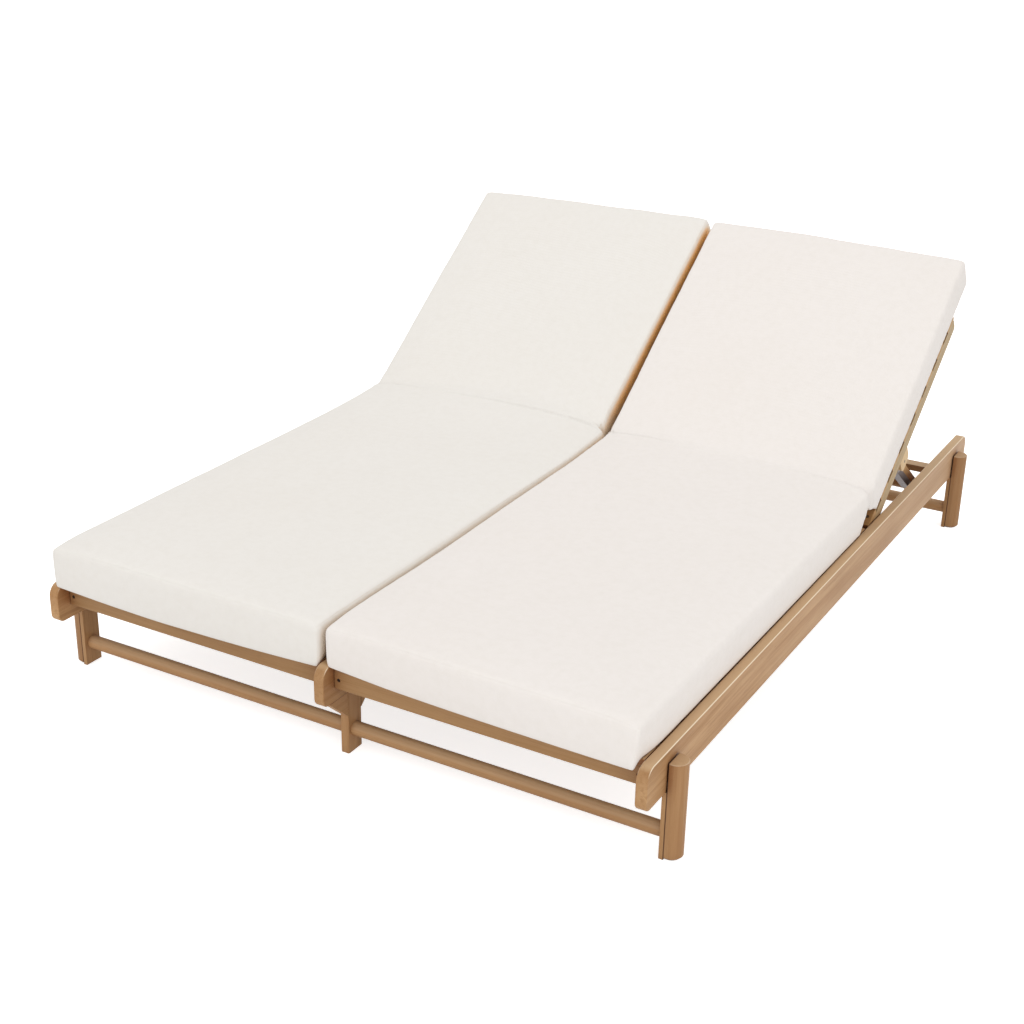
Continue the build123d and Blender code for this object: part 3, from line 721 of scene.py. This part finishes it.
def seamPaths(shape, sign):
    # the cover's seams: round the top, round the underside and up the four corners
    inset = shape["edgeRadius"] * 0.25
    foot = shape["footEnd"] - hingePlace.y + inset
    head = shape["headEnd"] - inset
    low = shape["inner"] + inset
    high = shape["outer"] - inset

    def run(x, tAt):
        seat = np.arange(foot, -tAt(0) * foldSlope, shape["seamStep"])
        back = np.arange(tAt(0) * foldSlope, head, shape["seamStep"])
        return [(x, s, tAt(s)) for s in seat] + [(x, s, tAt(s)) for s in back] + [(x, head, tAt(head))]

    def across(s, tAt):
        return [(x, s, tAt(s)) for x in np.linspace(low, high, 48)]

    paths = []
    for tAt in (lambda s: topHeight(shape, s) - inset, lambda s: shape["underSeat"] + inset):
        paths += [run(low, tAt), run(high, tAt), across(foot, tAt), across(head, tAt)]
    for x in (low, high):
        for s in (foot, head):
            heights = np.linspace(shape["underSeat"] + inset, topHeight(shape, s) - inset, 8)
            paths.append([(x, s, t) for t in heights])
    return [[stripPoint(sign * x, s, t) for x, s, t in path] for path in paths]


def addSeams(cushion, shape, sign):
    # fine welts that follow the swollen cover and are half sunk into it
    build = bmesh.new()
    build.from_mesh(cushion.data)
    cover = BVHTree.FromBMesh(build)
    sideCount = shape["seamSides"]
    for path in seamPaths(shape, sign):
        rings = []
        nearest = [cover.find_nearest(place) for place in path]
        path = [near - normal * shape["seamSunk"] for near, normal, face, away in nearest]
        for index, place in enumerate(path):
            ahead = (path[min(index + 1, len(path) - 1)] - path[max(index - 1, 0)]).normalized()
            side = ahead.orthogonal().normalized()
            above = ahead.cross(side)
            ring = []
            for step in range(sideCount):
                turn = step * math.tau / sideCount
                offset = side * math.cos(turn) + above * math.sin(turn)
                ring.append(build.verts.new(place + offset * shape["seamRadius"]))
            rings.append(ring)
        for first, second in zip(rings, rings[1:]):
            # the turn of the next ring that twists the tube least
            shift = min(range(sideCount), key=lambda k: sum(
                (first[i].co - second[(i + k) % sideCount].co).length for i in range(sideCount)))
            for step in range(sideCount):
                after = (step + 1) % sideCount
                build.faces.new((first[step], first[after],
                                 second[(after + shift) % sideCount], second[(step + shift) % sideCount]))
    build.to_mesh(cushion.data)
    build.free()


def spread(values, share):
    # a smooth curve through values that are evenly spaced over the share from 0 to 1
    count = len(values) - 1
    knots = np.linspace(0, 1, count + 1)
    fine = np.linspace(0, 1, 121)
    line = np.interp(fine, knots, values)
    kernel = np.hanning(120 // count + 3)
    kernel /= kernel.sum()
    padded = np.concatenate([np.full(len(kernel), line[0]), line, np.full(len(kernel), line[-1])])
    smooth = np.convolve(padded, kernel, "same")[len(kernel):-len(kernel)]
    return np.interp(share, fine, smooth)


def smoothFold(points, fromCrease, nominal, across, up, shape):
    # levels what the start shape's own crease left in the top, because the true crease lies elsewhere
    window = shape["foldWindow"]
    skin = (up > 0.9) & (np.abs(fromCrease) < window) & (np.abs(across - 0.5) < 0.35)
    rowCount = shape["foldRows"]
    rows = np.digitize(fromCrease[skin], np.linspace(-window, window, rowCount + 1))
    rest = (points[:, 2] - hingePlace.z - nominal)[skin]
    filled = [row for row in range(1, rowCount + 1) if np.any(rows == row)]
    centres = np.array([fromCrease[skin][rows == row].mean() for row in filled])
    heights = np.array([rest[rows == row].mean() for row in filled])
    trend = np.interp(centres, (centres[0], centres[-1]), (heights[0], heights[-1]))
    ridge = np.interp(fromCrease, centres, heights - trend, left=0.0, right=0.0)
    points[:, 2] -= ridge * up ** 4


def shapeFold(cushion, shape, place, seed):
    # the seat's foam swells up against the back, the cover tucks in between them, the ends pinch in,
    # and the underside opens in a wedge
    points = meshPoints(cushion.data)
    across, along, up, s, t, top, fromFold = stripShares(points, shape)
    width = shape["outer"] - shape["inner"]
    bulge = spread(place["bulge"], across)
    climb = bulge / math.sin(leanAngle)
    y = points[:, 1] - hingePlace.y
    foldTop = shape["underSeat"] + shape["foldThickness"]
    creaseY = -foldTop * foldSlope + climb * math.cos(leanAngle)
    beyond = y - creaseY
    seatLevel = foldTop + bulge * np.exp(-(np.minimum(beyond, 0) / shape["bulgeReach"]) ** 2)
    backLevel = foldTop + (y + foldTop * foldSlope) * math.tan(leanAngle)
    nominal = np.maximum(foldTop, backLevel)
    smoothFold(points, y + foldTop * foldSlope, nominal, across, up, shape)
    soft = shape["foldSoft"]
    wanted = 0.5 * (seatLevel + backLevel + np.sqrt((seatLevel - backLevel) ** 2 + soft ** 2))
    groove = shape["foldDepth"] * np.exp(-(np.abs(beyond) / shape["foldWidth"]) ** 1.5)
    reachable = np.exp(-(fromFold / shape["foldReach"]) ** 2)
    points[:, 2] += (wanted - nominal) * up ** 2 * reachable - groove * up ** 3

    # the wedge under the fold
    fromWedge = fromFold + shape["wedgeShift"]
    closeness = np.where(fromWedge < 0, 1 + fromWedge / shape["wedgeSeat"],
                         1 - fromWedge / shape["wedgeBack"])
    opening = np.clip(closeness, 0, 1) ** np.where(fromWedge < 0, 1.1, 0.85)
    toSides = 0.45 + 0.55 * np.abs(2 * across - 1) ** 2
    lift = shape["wedgeHeight"] * opening * (1 - up) ** 1.3 * toSides
    points[:, 1] -= math.sin(halfLean) * lift
    points[:, 2] += math.cos(halfLean) * lift

    creaseShift = climb * math.cos(leanAngle) * math.cos(halfLean) + bulge * math.sin(halfLean)
    fromCrease = fromFold - creaseShift * up + shape["wedgeShift"] * (1 - up)
    for edge, inward, strength in ((0.0, 1.0, place["pinch"][0]), (1.0, -1.0, place["pinch"][1])):
        far = np.abs(across - edge) * width
        pinch = shape["notchDepth"] * strength
        pinch = pinch * np.exp(-(fromCrease / shape["notchWidth"]) ** 2 - far / shape["notchReach"])
        pleat = np.cos(fromCrease * math.tau / shape["pleatPitch"] + seed)
        pleat = pleat * np.exp(-(fromCrease / shape["pleatReach"]) ** 2)
        pleat *= shape["sidePleat"] * strength * np.exp(-far / shape["pleatDepth"])
        points[:, 0] += np.sign(points[:, 0]) * inward * (pinch * (0.3 + 0.7 * up) + pleat)
        points[:, 2] -= 0.8 * pinch * up
        # short wrinkles that fan out from the notch
        reach = np.hypot(far, beyond)
        fan = np.arctan2(beyond, far + 0.004)
        ripple = np.cos(fan * shape["wrinkleCount"] + seed) * np.exp(-reach / shape["wrinkleReach"])
        ripple = ripple * (1 - np.exp(-reach / shape["wrinkleStart"]))
        points[:, 2] += shape["wrinkle"] * strength * ripple * up ** 2
    setPoints(cushion.data, points)


# unevenness of the filling and the cover: noise scales along x, y and z, and depths
coverLook = {
    "broadScale": (3.3, 2.6, 2.6),
    "smallScale": (12, 10, 14),
    "fineScale": (22, 38, 10),
    "broadDepth": 0.0024,
    "smallDepth": 0.0007,
    "fineDepth": 0.0006,
    "sideReach": 0.02,
    "headReach": 0.025,
    "headShare": 2.2,
}


def creaseCover(cushion, shape, seed):
    # broad soft unevenness of the filling, and small puckers beside the seams
    points = meshPoints(cushion.data)
    normals = meshPoints(cushion.data, "normal")
    across, along, up, s, t, top, fromFold = stripShares(points, shape)
    width = shape["outer"] - shape["inner"]
    toSide = np.minimum(across, 1 - across) * width
    toHead = (1 - along) * (shape["headEnd"] + hingePlace.y - shape["footEnd"])
    pucker = np.exp(-toSide / coverLook["sideReach"])
    pucker = pucker + coverLook["headShare"] * np.exp(-toHead / coverLook["headReach"])
    broadPlaces = points * coverLook["broadScale"] + (seed, 0, 0)
    smallPlaces = points * coverLook["smallScale"] + (seed, 0, 0)
    finePlaces = points * coverLook["fineScale"] + (0, seed, 0)
    moved = np.zeros(len(points))
    for index in range(len(points)):
        broad = noise.noise(Vector(broadPlaces[index]))
        small = noise.noise(Vector(smallPlaces[index]))
        fine = noise.noise(Vector(finePlaces[index]))
        moved[index] = (coverLook["broadDepth"] * broad + coverLook["smallDepth"] * small
                        + coverLook["fineDepth"] * pucker[index] * fine)
    setPoints(cushion.data, points + normals * (moved * np.clip(up, 0.15, 1))[:, None])


def layCushion(cushion, shape, place):
    # moves the cushion to where it lies in the photograph, a little askew, with its front edge hanging
    points = meshPoints(cushion.data)
    across, along, up, s, t, top, fromFold = stripShares(points, shape)
    sign = np.sign(points[:, 0])
    foot = shape["footEnd"] - hingePlace.y
    fold = -foot / (shape["headEnd"] - foot)

    beforeFold, afterFold = shape["foldSpan"]

    def station(values):
        return np.interp(along, (0, fold - beforeFold, fold + afterFold, 1), values)

    def between(pair):
        return pair[0] + (pair[1] - pair[0]) * across

    target = station(place["inner"]) * (1 - across) + station(place["outer"]) * across
    nominal = between((shape["inner"], shape["outer"]))
    points[:, 0] += sign * (target - nominal)
    raised = (station(place["innerRaise"]) * (1 - across) + station(place["outerRaise"]) * across) * up
    leaning = fromFold > 0
    points[:, 1] -= raised * np.where(leaning, math.sin(leanAngle), 0.0)
    points[:, 2] += raised * np.where(leaning, math.cos(leanAngle), 1.0)
    footShift = (between(place["footEnd"]) - shape["footEnd"]) * (1 - along)
    headShift = (between(place["headEnd"]) - shape["headEnd"]) * along
    shift = footShift + headShift
    points[:, 1] += shift * np.where(leaning, math.cos(leanAngle), 1.0)
    points[:, 2] += shift * np.where(leaning, math.sin(leanAngle), 0.0)
    bow = place["bow"] * (1 - (2 * across - 1) ** 2) * along ** 8
    points[:, 1] += bow * math.cos(leanAngle)
    points[:, 2] += bow * math.sin(leanAngle)
    # the foot's corners tuck under below and droop above
    corner = np.exp(-((s - foot) / shape["tuckReach"]) ** 2) * (1 - up)
    points[:, 0] += sign * corner * (place["tuck"][0] * (1 - across) ** 2 - place["tuck"][1] * across ** 2)
    width = shape["outer"] - shape["inner"]
    for far, droop in ((across * width, place["droop"][0]), ((1 - across) * width, place["droop"][1])):
        nearness = np.exp(-(far / shape["droopReach"]) ** 2 - ((s - foot) / shape["droopReach"]) ** 2)
        points[:, 2] -= droop * nearness * up ** 2
    hang = np.exp(-((s - foot) / shape["hangReach"]) ** 2)
    points[:, 2] -= spread(place["hang"], across) * hang * (1 - up) ** 0.8
    # the two cushions meet along the middle, and neither goes past it
    middle = -shape["middleGap"]
    gap = shape["meetingGap"]
    if sign[0] < 0:
        points[:, 0] = np.minimum(points[:, 0], middle - gap)
    else:
        points[:, 0] = np.maximum(points[:, 0], middle + gap)
    setPoints(cushion.data, points)


def makeCushion(side, shape, seed):
    sign = 1 if side == "right" else -1
    cushion = startCushion("cushion_" + side, shape, sign)
    remesh = cushion.modifiers.new("remesh", "REMESH")
    remesh.mode = "VOXEL"
    remesh.voxel_size = shape["voxel"]
    applyModifiers(cushion)
    swell(cushion, shape)
    subdivide = cushion.modifiers.new("finer", "SUBSURF")
    subdivide.levels = 1
    subdivide.render_levels = 1
    applyModifiers(cushion)
    addSeams(cushion, shape, sign)
    shapeFold(cushion, shape, cushionPlace[side], seed)
    creaseCover(cushion, shape, seed)
    layCushion(cushion, shape, cushionPlace[side])
    cushion.data.shade_smooth()
    print("cushion", side, "points", len(cushion.data.vertices))
    return cushion


# Cushion cloth

clothLook = {
    "left": colour(239, 235, 229),
    "right": colour(242, 236, 231),
    # colour of the painted shade in the gap between the cushions
    "paintedShade": colour(255, 198, 100),
    # painted shade for the deepest crevices
    "deep": colour(116, 84, 24),
    "thread": 0.0011,
    "roughness": 0.88,
    "bump": 0.25,
    "bumpHeight": 0.0005,
    "specular": 0.2,
    "sheen": 0.15,
    "sheenRoughness": 0.5,
    "paintedShadeReach": 0.07,
    # the heights between which the gap's painted shade grows, and its share below them
    "gapHeights": (0.30, 0.37),
    "gapSeatShare": 0.22,
}


def makeWeaveGroup():
    group, start, end = newGroup("plainWeave", [
        ("Place", "NodeSocketVector", None),
        ("Thread", "NodeSocketFloat", 0.001),
        ("Base", "NodeSocketColor", None),
    ], [("Color", "NodeSocketColor"), ("Height", "NodeSocketFloat"), ("Roughness", "NodeSocketFloat")])
    tree = group
    parts = addNode(tree, "ShaderNodeSeparateXYZ")
    join(tree, start.outputs["Place"], parts.inputs[0])
    waves = []
    for axis in ("X", "Y", "Z"):
        turns = mathNode(tree, "DIVIDE", parts.outputs[axis], start.outputs["Thread"])
        waves.append(mathNode(tree, "SINE", mathNode(tree, "MULTIPLY", turns, math.pi)))
    weft = mathNode(tree, "MULTIPLY", waves[0], mathNode(tree, "ADD", waves[1], waves[2]))
    height = mathNode(tree, "ABSOLUTE", weft)
    join(tree, height, end.inputs["Height"])
    slubs = addNode(tree, "ShaderNodeTexNoise", {"Scale": 60.0, "Detail": 4.0, "Roughness": 0.6})
    join(tree, start.outputs["Place"], slubs.inputs["Vector"])
    broad = addNode(tree, "ShaderNodeTexNoise", {"Scale": 3.0, "Detail": 3.0, "Roughness": 0.5})
    join(tree, start.outputs["Place"], broad.inputs["Vector"])
    shaded = mixColour(tree, remap(tree, slubs.outputs["Fac"], 0.4, 0.75, 0.0, 0.10), start.outputs["Base"],
                       colour(214, 206, 192))
    shaded = mixColour(tree, remap(tree, broad.outputs["Fac"], 0.4, 0.8, 0.0, 0.06), shaded,
                       colour(222, 210, 194))
    shaded = mixColour(tree, remap(tree, height, 0.0, 0.3, 0.05, 0.0), shaded, colour(200, 190, 172))
    join(tree, shaded, end.inputs["Color"])
    rough = clothLook["roughness"]
    join(tree, remap(tree, slubs.outputs["Fac"], 0.3, 0.7, rough - 0.05, rough + 0.06), end.inputs["Roughness"])
    return group


weaveGroup = makeWeaveGroup()


def makeCloth(name, tint):
    material = bpy.data.materials.new(name)
    material.use_nodes = True
    tree = material.node_tree
    shader = tree.nodes["Principled BSDF"]
    shader.inputs["Specular IOR Level"].default_value = clothLook["specular"]
    shader.inputs["Sheen Weight"].default_value = clothLook["sheen"]
    shader.inputs["Sheen Roughness"].default_value = clothLook["sheenRoughness"]
    place = addNode(tree, "ShaderNodeTexCoord")
    weave = addNode(tree, "ShaderNodeGroup", node_tree=weaveGroup)
    weave.inputs["Thread"].default_value = clothLook["thread"]
    weave.inputs["Base"].default_value = tint
    join(tree, place.outputs["Object"], weave.inputs["Place"])
    openness = addNode(tree, "ShaderNodeAmbientOcclusion", {"Distance": clothLook["paintedShadeReach"]}, samples=6)
    spot = addNode(tree, "ShaderNodeSeparateXYZ")
    join(tree, place.outputs["Object"], spot.inputs[0])
    # painted shade in the gap between the cushions, weaker on the seat than between the backs
    paintedShade = mathNode(tree, "MULTIPLY", remap(tree, openness.outputs["AO"], 0.52, 0.20),
                         remap(tree, spot.outputs["Z"], *clothLook["gapHeights"], clothLook["gapSeatShare"], 1.0))
    tone = mixColour(tree, paintedShade, weave.outputs["Color"], clothLook["paintedShade"])
    # painted shade, darker still, in the deepest crevices
    tone = mixColour(tree, remap(tree, openness.outputs["AO"], 0.09, 0.02), tone, clothLook["deep"])
    join(tree, tone, shader.inputs["Base Color"])
    join(tree, weave.outputs["Roughness"], shader.inputs["Roughness"])
    bump = addNode(tree, "ShaderNodeBump", {"Strength": clothLook["bump"], "Distance": clothLook["bumpHeight"]})
    join(tree, weave.outputs["Height"], bump.inputs["Height"])
    join(tree, bump.outputs["Normal"], shader.inputs["Normal"])
    return material


cushionSeeds = {"left": 3.0, "right": 14.0}
for side in sides:
    cushion = makeCushion(side, cushionShape, cushionSeeds[side])
    cushion.data.materials.append(makeCloth("cushionCloth_" + side, clothLook[side]))
    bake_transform(cushion)
    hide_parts("seat_cushion_" + side, "back_cushion_" + side)
print("cushions made")


# Studio: a pale floor, a white surround and large soft lamps

studio = {
    "floorSize": 30.0,
    "floorColour": colour(236, 236, 236),
    "floorGlow": 0.72,
    "worldLight": 0.88,
    "keyPower": 22.0,
    "keyPlace": (-0.6, 0.5, 5.0),
    "keySize": 3.5,
    "fillPower": 46.0,
    "fillPlace": (5.5, -4.0, 2.4),
    "fillSize": 4.0,
    "frontPower": 30.0,
    "frontPlace": (0.5, -6.5, 1.2),
    "frontSize": 2.0,
}


def directlySeen(tree):
    # 1 for what the camera, reflections and see-through things look at
    rays = addNode(tree, "ShaderNodeLightPath")
    seen = mathNode(tree, "MAXIMUM", rays.outputs["Is Camera Ray"], rays.outputs["Is Glossy Ray"])
    return mathNode(tree, "MAXIMUM", seen, rays.outputs["Is Transmission Ray"])


def makeFloor():
    mesh = bpy.data.meshes.new("floor")
    size = studio["floorSize"] / 2
    corners = [(-size, -size, 0), (size, -size, 0), (size, size, 0), (-size, size, 0)]
    mesh.from_pydata(corners, [], [(0, 1, 2, 3)])
    floor = bpy.data.objects.new("floor", mesh)
    scene.collection.objects.link(floor)
    material = bpy.data.materials.new("paleFloor")
    material.use_nodes = True
    tree = material.node_tree
    shader = tree.nodes["Principled BSDF"]
    shader.inputs["Roughness"].default_value = 0.9
    shader.inputs["Specular IOR Level"].default_value = 0.0
    shader.inputs["Base Color"].default_value = studio["floorColour"]
    shader.inputs["Emission Color"].default_value = (1, 1, 1, 1)
    glow = mathNode(tree, "MULTIPLY", directlySeen(tree), studio["floorGlow"])
    join(tree, glow, shader.inputs["Emission Strength"])
    mesh.materials.append(material)


def makeWorld():
    world = bpy.data.worlds.new("studioWorld")
    scene.world = world
    world.use_nodes = True
    tree = world.node_tree
    background = tree.nodes["Background"]
    background.inputs["Color"].default_value = (1, 1, 1, 1)
    strength = addNode(tree, "ShaderNodeMapRange", {"To Min": studio["worldLight"], "To Max": 1.0})
    join(tree, directlySeen(tree), strength.inputs["Value"])
    join(tree, strength.outputs["Result"], background.inputs["Strength"])


def makeLamp(name, place, size, power):
    data = bpy.data.lights.new(name, "AREA")
    data.shape = "SQUARE"
    data.size = size
    data.energy = power
    lamp = bpy.data.objects.new(name, data)
    scene.collection.objects.link(lamp)
    lamp.location = place
    lamp.rotation_euler = (Vector((0, 0, 0.2)) - Vector(place)).to_track_quat("-Z", "Y").to_euler()


makeFloor()
makeWorld()
for name in ("key", "fill", "front"):
    makeLamp(name + "Lamp", studio[name + "Place"], studio[name + "Size"], studio[name + "Power"])
print("studio made")
